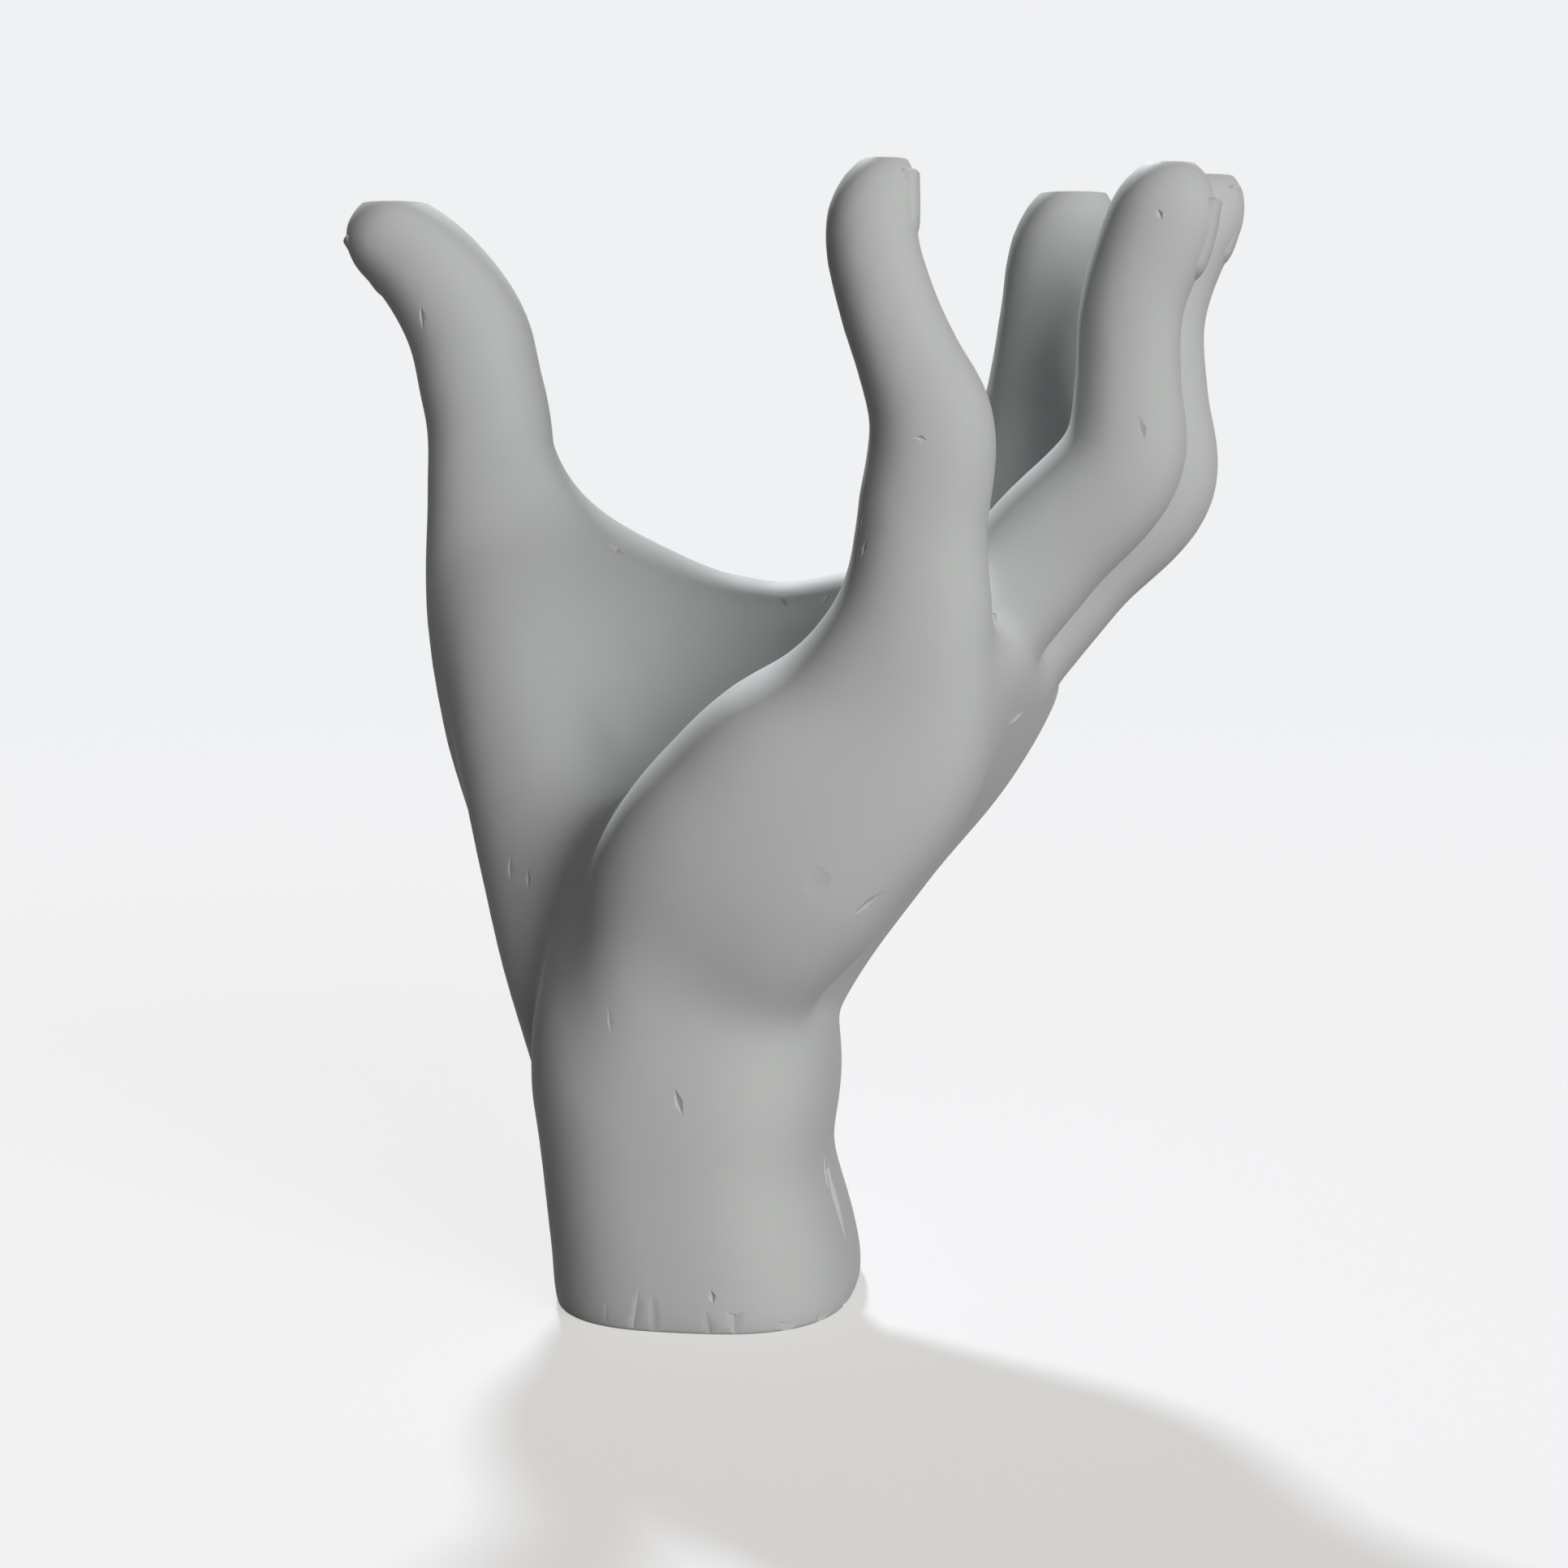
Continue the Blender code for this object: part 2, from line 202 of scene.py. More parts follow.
MASSES = (
    Mass(
        name="forearm",
        side=(0.15, 1, 0),
        power=2.7,
        stations=(
            ((0.4, 0, -CUT_MARGIN), FOOT_DEPTH / 2, FOOT_BREADTH / 2),
            ((0.4, 0, 0), FOOT_DEPTH / 2, FOOT_BREADTH / 2),
            ((-2.7, 0, 22), 23.0, 27.5),
            ((-3, 0, 37), 24.6, 28),
            ((-4, 0, 49), 23.5, 27.8),
            ((-5, 0, 60), 20, 25),
        ),
    ),
    Mass(
        name="palm",
        side=(0.28, 0.96, -0.05),
        power=2.6,
        stations=(
            ((4, 1, 46), 15, 28),
            ((7.5, 1, 52), 14.2, 30),
            ((24, 2, 74), 12.7, 33.5),
            ((37.5, 2, 91), 12.6, 36),
            ((45.5, 2, 102.5), 11.2, 34.5),
            ((50, 2, 109), 9.5, 32),
        ),
    ),
    Mass(
        name="palm_heel",
        side=(0.1, 1, 0),
        power=2.3,
        stations=(
            ((-7.5, 0, 34), 18, 25),
            ((-8.5, 1, 52), 17.5, 24),
            ((-6, 4, 68), 15, 20),
            ((-2, 10, 80), 10.5, 14),
        ),
    ),
    Mass(
        name="little_heel",
        side=(0.1, 1, 0),
        power=2.7,
        stations=(
            ((-1.8, -12.9, 57), 20, 14.6),
            ((3.2, -17.4, 67), 21.8, 17),
            ((13, -20, 79), 22, 17.5),
            ((27.5, 4 - LITTLE_SPREAD, 96.5), 18.4, 14.5),
            ((30.5, 1 - LITTLE_SPREAD, 108), 14, 11.5),
            ((31, -LITTLE_SPREAD, 118), 9.8, 9.4),
        ),
    ),
    Mass(
        name="heel_flow",
        side=(0.1, 1, 0),
        power=2.2,
        stations=(
            ((-9.5, -10, 40), 13.5, 17),
            ((-8.2, -12, 54), 13.2, 17.5),
            ((-4.2, -13.5, 65), 13, 17.5),
            ((1, -15, 76), 12, 17),
        ),
    ),
    Mass(
        name="thumb_heel",
        side=(0.3, 1, 0),
        power=2.3,
        stations=(
            ((-12, 12, 24), 14, 15),
            ((-18.7, 20, 50), 15.6, 17),
            ((-26.6, 30, 80), 14.6, 18),
            ((-33, THUMB_SPREAD - 8, 103), 14, 16),
            ((-38, THUMB_SPREAD, 118), 12, 13),
        ),
    ),
    Mass(
        name="thumb_root",
        side=(0.2, 1, 0),
        power=2,
        stations=(
            ((-4, 15, 42), 11, 10),
            ((-3, 19.5, 56), 12, 11),
            ((-2, 21.5, 68), 12, 11),
            ((0, 22, 82), 10, 10),
        ),
    ),
    Mass(
        name="thumb_web",
        side=(0.1, 0.42, 1),
        power=2.6,
        stations=(
            ((-39, THUMB_SPREAD - 4, 108), 14, 20),
            ((-28, THUMB_SPREAD - 6, 102), 14, 22),
            ((-17.5, 39, 95.5), 13, 23),
            ((-8.5, 37, 92), 11, 23.2),
            ((2, 34, 89), 9.5, 23.6),
            ((12, 31, 88), 9, 24),
            ((25, 28, 93), 9, 21.5),
            ((40, 28, 100), 10, 16),
        ),
    ),
    Mass(
        name="web_rim",
        side=(0, 1, 0),
        power=2,
        stations=(
            ((-38, THUMB_SPREAD + 1, 140), 8, 9),
            ((-33.9, THUMB_SPREAD + 1.5, 131.7), 8, 10),
            ((-28.4, THUMB_SPREAD + 1.5, 123.8), 8, 10),
            ((-20.9, THUMB_SPREAD + 1, 118.2), 8, 10),
            ((-12.0, THUMB_SPREAD - 1, 113.6), 8, 9.5),
            ((-0.9, 44, 108.4), 8, 8.5),
            ((11.8, 40, 105.9), 8, 8.5),
            ((23.8, 36.5, 107.8), 8, 9),
            ((37, 31, 111.5), 8.5, 7.5),
            ((47, 29, 115), 7, 6),
        ),
    ),
)

FILLETS = (
    Fillet(centre=(-26, THUMB_SPREAD - 10, 112), reach=34, radius=16, softening=0.2),
    Fillet(centre=(-14, 2, 62), reach=34, radius=24, softening=0.12),
    Fillet(centre=(36, 2 - LITTLE_SPREAD, 82), reach=32, radius=16, softening=0.1),
    Fillet(centre=(-5, -26, 57), reach=28, radius=26, softening=0.16),
    Fillet(centre=(12, -29, 58), reach=17, radius=18, softening=0.14),
    Fillet(centre=(5, 30, 62), reach=32, radius=18, softening=0.12),
    Fillet(centre=(-14, 24, 36), reach=30, radius=26, softening=0.16),
    Fillet(centre=(38, 36, 110), reach=18, radius=10, softening=0.12),
    Fillet(centre=(54, 2, 92), reach=20, radius=9, softening=0),
    Fillet(centre=(20, -LITTLE_SPREAD, 110), reach=22, radius=20, softening=0.12),
)

# The nicks and chips that the photo shows
NICKS = (
    Nick((31.7, -38.7, 139.0), (33.6, -38.9, 138.4), 0.9, 0.22, 0.2),
    Nick((66.2, -25.8, 141.8), (67.0, -25.8, 138.6), 1.3, 0.38, -0.4),
    Nick((68.1, -26.7, 172.8), (68.9, -27.0, 171.1), 1.0, 0.3, 0.3),
    Nick((47.4, -18.0, 94.7), (50.3, -13.0, 96.2), 1.3, 0.5, 0.0),
    Nick((-4.2, -27.9, 39.2), (-3.0, -27.9, 35.0), 1.3, 0.45, -0.5),
    Nick((1.2, -28.1, 7.3), (1.6, -28.1, 5.2), 1.3, 0.4, 0.0),
    Nick((-15.5, -24.7, -5.0), (-15.2, -24.7, 5.0), 3.0, 0.45, 0.3),
    Nick((-11.4, -26.8, -6.5), (-10.0, -26.8, 6.5), 3.8, 0.5, 0.4),
    Nick((-7.0, -27.6, -5.5), (-8.0, -27.6, 5.5), 4.2, 0.5, 0.1),
    Nick((1.2, -28.0, -3.5), (0.4, -28.0, 3.5), 5.4, 0.5, -0.1),
    Nick((5.6, -27.8, -6.0), (4.8, -27.8, 6.0), 3.2, 0.45, 0.2),
    Nick((13.6, -25.9, -5.0), (13.0, -25.9, 5.0), 4.2, 0.45, 0.0),
    Nick((19.4, -21.3, -4.5), (19.4, -21.3, 4.5), 3.2, 0.4, 0.2),
    Nick((22.9, -34.8, 67.2), (27.4, -33.9, 70.9), 1.4, 0.5, -0.7),
    Nick((17.0, -37.4, 75.3), (17.6, -36.9, 70.2), 4.4, 0.26, 0.6),
    Nick((-17.9, 39.7, 120.5), (-15.2, 38.8, 118.5), 1.4, 0.6, 0.0),
    Nick((11.1, 34.0, 111.8), (13.2, 32.1, 110.0), 1.4, 0.5, 0.0),
    Nick((20.3, 30.0, 112.3), (18.9, 29.5, 110.2), 0.8, 0.4, 0.0),
    Nick((-25.2, -7.4, 55.9), (-25.6, -10.4, 53.1), 1.1, 0.5, 0.4),
    Nick((-32.8, 11.0, 69.9), (-32.8, 10.7, 65.5), 1.0, 0.25, -0.8),
    Nick((-29.7, 8.9, 68.0), (-29.7, 8.3, 64.7), 1.1, 0.45, -0.8),
    Nick((-14.4, -26.9, 51.4), (-13.8, -26.4, 47.6), 0.8, 0.12, -0.4),
    Nick((24.7, -33.8, 127.9), (24.0, -32.6, 125.2), 0.8, 0.3, -0.7),
    Nick((24.9, -34.6, 123.8), (24.2, -34.0, 121.2), 0.9, 0.35, -0.7),
    Nick((-50.7, 46.9, 162.1), (-50.5, 47.3, 157.4), 1.0, 0.3, -0.8),
    Nick((20.9, -7.0, 25.0), (23.2, -9.0, 8.6), 3.4, 0.55, 0.5),
    Nick((20.2, -9.0, 24.6), (20.8, -10.2, 18.6), 1.3, 0.5, 0.3),
)


class CastHandSizes(bpy.types.PropertyGroup):
    """Sizes of the cast hand."""

    height: bpy.props.FloatProperty(
        name="Height",
        description="From the foot to the level cut of the fingertips",
        default=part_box("hand")[1].z,
        min=0.05,
        unit="LENGTH",
    )
    voxel: bpy.props.FloatProperty(
        name="Voxel",
        description="Size of the cells in which the limbs are fused",
        default=0.0012,
        min=0.0008,
        precision=4,
        unit="LENGTH",
    )
    first_smoothing: bpy.props.IntProperty(
        name="First smoothing",
        description="Smoothing steps before the creases are filled",
        default=6,
        min=0,
    )
    last_smoothing: bpy.props.IntProperty(
        name="Last smoothing",
        description="Smoothing steps after the creases are filled",
        default=5,
        min=0,
    )
    fill_steps: bpy.props.IntProperty(
        name="Fill steps",
        description="Steps in which the creases between the limbs are filled",
        default=300,
        min=1,
    )
    foot_rounding: bpy.props.FloatProperty(
        name="Foot rounding",
        description="Height of the rounding of the foot's lower edge",
        default=0.0055,
        min=0.0005,
        precision=4,
        unit="LENGTH",
    )
    foot_inset: bpy.props.FloatProperty(
        name="Foot inset",
        description="How far in the rounding brings the foot's lower edge",
        default=0.0009,
        min=0.0,
        precision=4,
        unit="LENGTH",
    )
    nail_thickness: bpy.props.FloatProperty(
        name="Nail thickness",
        description="Half the thickness of a nail's plate, most of which lies in the finger",
        default=0.0024,
        min=0.0005,
        precision=4,
        unit="LENGTH",
    )
    root_lift: bpy.props.FloatProperty(
        name="Root lift",
        description="How far a nail stands proud of the finger at its root",
        default=0.0001,
        precision=5,
        unit="LENGTH",
    )
    nail_crown: bpy.props.FloatProperty(
        name="Nail crown",
        description="How far a nail stands proud of the finger at its middle",
        default=0.00045,
        precision=5,
        unit="LENGTH",
    )


class CastingMarkSizes(bpy.types.PropertyGroup):
    """Sizes of the nicks and chips that the casting and its use left."""

    depth_share: bpy.props.FloatProperty(
        name="Depth",
        description="Share of its full depth to which each nick is cut",
        default=1.4,
        min=0.2,
        max=3.0,
    )
    rim_chips: bpy.props.IntProperty(
        name="Rim chips",
        description="Shallow chips in the foot's lower edge at its back and sides",
        default=13,
        min=1,
    )
    chip_depth: bpy.props.FloatProperty(
        name="Chip depth",
        description="How deep a chip in the foot's edge is cut",
        default=0.00045,
        min=0.0001,
        precision=5,
        unit="LENGTH",
    )


class CastFinish(bpy.types.PropertyGroup):
    """Colour and grain of the cast grey."""

    tone: bpy.props.FloatVectorProperty(
        name="Tone",
        description="Colour of the casting",
        default=(0.505, 0.516, 0.510),
        min=0.0,
        max=1.0,
        subtype="COLOR",
    )
    roughness: bpy.props.FloatProperty(
        name="Roughness",
        description="Mean roughness of the matte surface",
        default=0.62,
        min=0.0,
        max=1.0,
    )
    mottle: bpy.props.FloatProperty(
        name="Mottle",
        description="Share by which the tone drifts over the surface",
        default=0.03,
        min=0.0,
        max=0.5,
    )
    grain_depth: bpy.props.FloatProperty(
        name="Grain depth",
        description="Depth of the fine grain of the mould",
        default=0.00001,
        min=0.0,
        precision=6,
        unit="LENGTH",
    )


class StageSettings(bpy.types.PropertyGroup):
    """Colours of the floor and the backdrop, and the camera's place."""

    pale: bpy.props.FloatVectorProperty(
        name="Pale",
        description="Colour of the floor and of the backdrop",
        default=(0.871, 0.880, 0.896),
        min=0.0,
        max=1.0,
        subtype="COLOR",
    )
    floor_tone: bpy.props.FloatVectorProperty(
        name="Floor tone",
        description="Matte part of the floor's colour near the stand, which the shadow takes away",
        default=(0.310, 0.318, 0.343),
        min=0.0,
        max=1.0,
        subtype="COLOR",
    )
    floor_glow: bpy.props.FloatVectorProperty(
        name="Floor glow",
        description="The rest of the floor's colour near the stand, which stays in the shadow",
        default=(0.561, 0.545, 0.521),
        min=0.0,
        max=1.0,
        subtype="COLOR",
    )
    ambient: bpy.props.FloatProperty(
        name="Ambient",
        description="Strength of the even light from all sides",
        default=0.04,
        min=0.0,
    )
    camera_place: bpy.props.FloatVectorProperty(
        name="Camera place",
        description="Where the camera stands",
        default=(0.0126, -0.470, 0.1396),
        subtype="TRANSLATION",
        unit="LENGTH",
    )
    camera_dip: bpy.props.FloatProperty(
        name="Camera dip",
        description="How far below the level the camera looks",
        default=math.radians(6.85),
        unit="ROTATION",
    )
    field: bpy.props.FloatProperty(
        name="Field of view",
        description="Angle that the picture takes in",
        default=math.radians(30),
        min=math.radians(5),
        max=math.radians(120),
        unit="ROTATION",
    )


def smooth_path(rows, rings_per_mm):
    """Rows of numbers run through by a cubic curve, and how far along it each of its points is.

    Between two rows the curve is the Hermite cubic of both rows and of the slopes there.
    """
    reach = np.concatenate([[0], np.cumsum(np.linalg.norm(np.diff(rows[:, :3], axis=0), axis=1))])
    slopes = np.gradient(rows, reach, axis=0)
    at = np.linspace(0, reach[-1], max(8, round(reach[-1] * rings_per_mm)))
    part = np.clip(np.searchsorted(reach, at, side="right") - 1, 0, len(rows) - 2)
    span = np.diff(reach)[part]
    t = ((at - reach[part]) / span)[:, None]
    span = span[:, None]
    path = (2 * t**3 - 3 * t**2 + 1) * rows[part] + (3 * t**2 - 2 * t**3) * rows[part + 1]
    path += (t**3 - 2 * t**2 + t) * span * slopes[part] + (t**3 - t**2) * span * slopes[part + 1]
    return path, at


def superellipse(turns, power):
    """Both coordinates of a unit superellipse: cosine and sine to the power 2 / power, with their signs."""
    c, s = np.cos(turns), np.sin(turns)
    return np.sign(c) * np.abs(c) ** (2 / power), np.sign(s) * np.abs(s) ** (2 / power)


def end_rounding(at, start, end):
    """How much of its girth a limb keeps at each place, with an elliptical cap at either end."""
    into_end = np.clip((at - at[-1] + end) / end, 0, 1)
    into_start = np.clip((start - at) / start, 0, 1)
    return np.sqrt(np.clip(1 - into_end**2, 1e-4, 1) * np.clip(1 - into_start**2, 1e-4, 1))


def limb(stations, side, power, start, end, sides=SIDES, rings_per_mm=RINGS_PER_MM):
    """A closed tube as rings of points: a superellipse carried along the path of the stations.

    At the turn a, a ring's point is the centre, plus outward by half the thickness times cos(a) to the
    power 2 / power, plus across by half the breadth times sin(a) to the same power, with their signs kept.
    """
    rows = np.array([(*centre, thick, broad) for centre, thick, broad in stations], float)
    path, at = smooth_path(rows, rings_per_mm)
    kept = end_rounding(at, start, end)
    centre = path[:, :3]
    along = np.gradient(centre, axis=0)
    along /= np.linalg.norm(along, axis=1)[:, None]
    across = np.asarray(side, float) - (along @ np.asarray(side, float))[:, None] * along
    across /= np.linalg.norm(across, axis=1)[:, None]
    outward = np.cross(across, along)
    c, s = superellipse(np.linspace(0, 2 * math.pi, sides, endpoint=False), power)
    thick = outward[:, None] * (path[:, 3] * kept)[:, None, None] * c[None, :, None]
    broad = across[:, None] * (path[:, 4] * kept)[:, None, None] * s[None, :, None]
    return (centre[:, None] + thick + broad) * MM


def mesh_from(name, points, corners, sizes):
    """A mesh from its points, the corners of its faces one after another, and each face's corner count."""
    mesh = bpy.data.meshes.new(name)
    mesh.vertices.add(len(points))
    mesh.loops.add(len(corners))
    mesh.polygons.add(len(sizes))
    mesh.vertices.foreach_set("co", points.astype(np.float32).reshape(-1))
    mesh.loops.foreach_set("vertex_index", corners.astype(np.int32))
    mesh.polygons.foreach_set("loop_start", (np.cumsum(sizes) - sizes).astype(np.int32))
    mesh.update(calc_edges=True)
    mesh.validate()
    return mesh


def tubes_mesh(name, tubes):
    """One mesh of closed tubes: four-sided faces between neighbouring rings, and a face on each end."""
    corners, sizes, first = [], [], 0
    for tube in tubes:
        rings, sides = tube.shape[:2]
        index = first + np.arange(rings * sides).reshape(rings, sides)
        after = np.roll(index, -1, axis=1)
        quads = np.stack([index[:-1], after[:-1], after[1:], index[1:]], axis=-1)
        corners += [quads.reshape(-1), index[0, ::-1], index[-1]]
        sizes += [np.full((rings - 1) * sides, 4), [sides], [sides]]
        first += rings * sides
    points = np.concatenate([tube.reshape(-1, 3) for tube in tubes])
    return mesh_from(name, points, np.concatenate(corners), np.concatenate(sizes))


def object_of(mesh):
    """A new object in the scene that holds this mesh."""
    made = bpy.data.objects.new(mesh.name, mesh)
    bpy.context.scene.collection.objects.link(made)
    return made


def numbers_of(items, field, width, kind):
    """A field of a mesh's vertices, edges or loops as an array."""
    values = np.empty(len(items) * width, kind)
    items.foreach_get(field, values)
    return values.reshape(-1, width)


def palmward(digit):
    """The level direction in which a digit's palm side faces."""
    turn = math.radians(digit.palm_side)
    return np.array([math.cos(turn), math.sin(turn), 0])


def joints_of(digit, height):
    """Where the digit's knuckle, two joints and tip are."""
    joints = [np.array(digit.knuckle, float)]
    for length, tilt, lean in digit.bones:
        tilt, lean = math.radians(tilt), math.radians(lean)
        along = palmward(digit) * math.sin(tilt) * math.cos(lean)
        along += np.array([0, math.sin(lean), math.cos(tilt) * math.cos(lean)])
        if len(joints) == len(digit.bones):
            length = (height + length - joints[-1][2]) / along[2]
        joints.append(joints[-1] + along * length)
    return joints


def digit_limb(digit, height):
    """The tube of a digit, from its heel to its tip."""
    knuckle, second, last, tip = joints_of(digit, height)
    centres = [
        np.array(digit.heel, float),
        knuckle,
        (knuckle + second) / 2,
        second,
        (second + last) / 2,
        last,
        (last + tip) / 2 + palmward(digit) * digit.pad,
        tip - palmward(digit) * digit.tip_shift,
    ]
    thick, broad = digit.girths[-1]
    girths = [*digit.girths, (thick * digit.tip_share, broad * digit.tip_share)]
    stations = [(centre, *girth) for centre, girth in zip(centres, girths)]
    return limb(stations, (0, 1, 0), DIGIT_POWER, DIGIT_START, digit.tip_round)


def nail_plate(digit, sizes):
    """The tube of a nail: a flat plate in the back of the digit's last bone, a little proud of it."""
    below, length, half_breadth, edge_lift = digit.nail
    thickness = sizes.nail_thickness / MM
    last, tip = joints_of(digit, sizes.height / MM)[2:]
    along = (tip - last) / np.linalg.norm(tip - last)
    back = (along @ palmward(digit)) * along - palmward(digit)
    back /= np.linalg.norm(back)
    depth = digit.girths[-1][0] - thickness
    pad = palmward(digit) * digit.pad
    stations = []
    for share, lift in zip((1, 0.5, 0), (sizes.root_lift / MM, sizes.nail_crown / MM, edge_lift)):
        centre = tip - along * (below + length * share) + back * (depth + lift) + pad
        stations.append((centre, thickness, half_breadth))
    ends = (NAIL_ROOT, NAIL_EDGE)
    return limb(stations, (0, 1, 0), NAIL_POWER, *ends, NAIL_SIDES, NAIL_RINGS_PER_MM)


def fillets_at(points):
    """The least radius of a crease at each point, and how much a fold there is softened at each step."""
    radius = np.full(len(points), CREASE_RADIUS)
    softening = np.zeros(len(points))
    for fillet in FILLETS:
        away = np.linalg.norm(points - np.array(fillet.centre, float), axis=1) / fillet.reach
        share = np.clip(2 - 2 * away, 0, 1)
        radius = np.maximum(radius, fillet.radius * share)
        softening = np.maximum(softening, fillet.softening * share)
    return radius, softening


def vertex_sums(index, values, count):
    """Values added up for each vertex that the index names."""
    return np.stack([np.bincount(index, values[:, i], count) for i in range(values.shape[1])], axis=1)


def vertex_normals(points, corners):
    """Unit normals of a mesh of four-sided faces: the sum of the faces' crossed diagonals."""
    a, b, c, d = (points[corners[:, i]] for i in range(4))
    face = np.cross(c - a, d - b)
    normals = vertex_sums(corners.reshape(-1), np.repeat(face, 4, axis=0), len(points))
    return normals / np.linalg.norm(normals, axis=1)[:, None]


def fill_creases(mesh, steps):
    """Raises each crease between the limbs until it is as round as the fillets ask.

    A vertex lies below the mean of its neighbours by about their squared distance over four radii.
    Where it lies lower, it is raised along its normal by most of the rest.
    """
    points = numbers_of(mesh.vertices, "co", 3, np.float32).astype(float) / MM
    edges = numbers_of(mesh.edges, "vertices", 2, np.int32)
    corners = numbers_of(mesh.loops, "vertex_index", 1, np.int32).reshape(-1, 4)
    starts = np.concatenate([edges[:, 0], edges[:, 1]])
    ends = np.concatenate([edges[:, 1], edges[:, 0]])
    radius, softening = fillets_at(points)
    near = (radius[starts] > CREASE_RADIUS) | (radius[ends] > CREASE_RADIUS)
    starts, ends = starts[near], ends[near]
    degree = np.maximum(np.bincount(starts, minlength=len(points)), 1)[:, None]
    for step in range(steps):
        if step % NORMALS_EVERY == 0:
            normals = vertex_normals(points, corners)
        reach = points[ends] - points[starts]
        pull = vertex_sums(starts, reach, len(points)) / degree
        rise = (pull * normals).sum(axis=1)
        square = vertex_sums(starts, (reach**2).sum(axis=1)[:, None], len(points)) / degree
        excess = np.clip(rise - square[:, 0] / (4 * radius), 0, None)
        points += RAISED_SHARE * excess[:, None] * normals + softening[:, None] * pull
    mesh.vertices.foreach_set("co", (points * MM).astype(np.float32).reshape(-1))


def add_modifier(obj, name, kind, **settings):
    """Adds a modifier with these settings."""
    modifier = obj.modifiers.new(name, kind)
    for setting, value in settings.items():
        setattr(modifier, setting, value)
    return modifier


def carry_out(obj):
    """Puts the result of the object's modifiers in place of its mesh."""
    bpy.context.view_layer.update()
    graph = bpy.context.evaluated_depsgraph_get()
    mesh = bpy.data.meshes.new_from_object(obj.evaluated_get(graph))
    plain = obj.data
    obj.modifiers.clear()
    obj.data = mesh
    bpy.data.meshes.remove(plain)
    return mesh


def combine(obj, other, operation):
    """Joins another closed mesh to the object, or cuts it away, and removes the other."""
    add_modifier(obj, other.name, "BOOLEAN", operation=operation, object=other, solver="EXACT")
    before = len(obj.data.vertices)
    mesh = carry_out(obj)
    if len(mesh.vertices) == before:
        raise RuntimeError(f"{other.name} changed nothing on {obj.name}")
    used = other.data
    bpy.data.objects.remove(other)
    bpy.data.meshes.remove(used)


def cut_level(mesh, height, upwards):
    """Cuts away what lies beyond a level plane, and closes the cut with flat faces."""
    bm = bmesh.new()
    bm.from_mesh(mesh)
    cut = bmesh.ops.bisect_plane(
        bm,
        geom=[*bm.verts, *bm.edges, *bm.faces],
        dist=1e-7,
        plane_co=(0, 0, height),
        plane_no=(0, 0, 1 if upwards else -1),
        clear_outer=True,
    )
    rim = [item for item in cut["geom_cut"] if isinstance(item, bmesh.types.BMEdge)]
    bmesh.ops.contextual_create(bm, geom=rim)
    bm.to_mesh(mesh)
    bm.free()


def round_foot(mesh, high, inset):
    """Rounds the foot's lower edge.

    A point that lies by d below the top of the rounding moves in by inset (1 - sqrt(1 - (d / high)^2)),
    along the slope of x^2 / depth^2 + y^2 / breadth^2.
    """
    bm = bmesh.new()
    bm.from_mesh(mesh)
    for share in FOOT_LOOPS:
        parts = [*bm.verts, *bm.edges, *bm.faces]
        level = (0, 0, high * share)
        bmesh.ops.bisect_plane(bm, geom=parts, dist=1e-7, plane_co=level, plane_no=(0, 0, 1))
    bm.to_mesh(mesh)
    bm.free()
    points = numbers_of(mesh.vertices, "co", 3, np.float32).astype(float)
    drop = np.clip(1 - points[:, 2] / high, 0, 1)
    slope = points[:, :2] / np.array([FOOT_DEPTH**2, FOOT_BREADTH**2])
    slope /= np.maximum(np.linalg.norm(slope, axis=1), 1e-9)[:, None]
    points[:, :2] -= slope * (inset - inset * np.sqrt(1 - drop**2))[:, None]
    mesh.vertices.foreach_set("co", points.astype(np.float32).reshape(-1))


def surface_finder(mesh):
    """A tree that finds the nearest point of the mesh's surface, and its normal there."""
    bm = bmesh.new()
    bm.from_mesh(mesh)
    tree = BVHTree.FromBMesh(bm)
    bm.free()
    return tree


def nick_points(finder, nick, depth_share, foot_rounding):
    """The five corners of a nick's cutter: four stand over the surface in a kite, and one lies below it.

    In the foot's rounding, the surface is taken to run straight down from the top of the rounding.
    """
    start, end = Vector(nick.start) * MM, Vector(nick.end) * MM
    middle = (start + end) / 2
    lift = Vector((0, 0, max(foot_rounding - middle.z, 0)))
    centre, normal = finder.find_nearest(middle + lift)[:2]
    centre = centre - lift
    along = end - start
    along -= along.dot(normal) * normal
    length = along.length
    along.normalize()
    across = normal.cross(along)
    half = nick.width * MM / 2
    over = KITE_HEIGHT * nick.depth * MM
    top = centre + normal * over
    deep = centre - normal * nick.depth * MM * depth_share + across * half * nick.aside
    return [
        top - along * length * KITE_REACH,
        top + across * half * KITE_BREADTH,
        top + along * length * KITE_REACH,
        top - across * half * KITE_BREADTH,
        deep,
    ]


def cutter_object(name, hollows):
    """One object of all the cutters: each is a kite over a point, with four slanting sides and a lid."""
    count = len(hollows)
    points = np.array([[tuple(corner) for corner in hollow] for hollow in hollows])
    slants = np.array([(0, 1, 4), (1, 2, 4), (2, 3, 4), (3, 0, 4)])
    first = 5 * np.arange(count)[:, None, None]
    slant_corners = (first + slants).reshape(-1)
    lid_corners = (first + np.array([[3, 2, 1, 0]])).reshape(-1)
    corners = np.concatenate([slant_corners, lid_corners])
    sizes = np.concatenate([np.full(4 * count, 3), np.full(count, 4)])
    mesh = mesh_from(name, points.reshape(-1, 3), corners, sizes)
    bm = bmesh.new()
    bm.from_mesh(mesh)
    bmesh.ops.recalc_face_normals(bm, faces=bm.faces)
    bm.to_mesh(mesh)
    bm.free()
    return object_of(mesh)


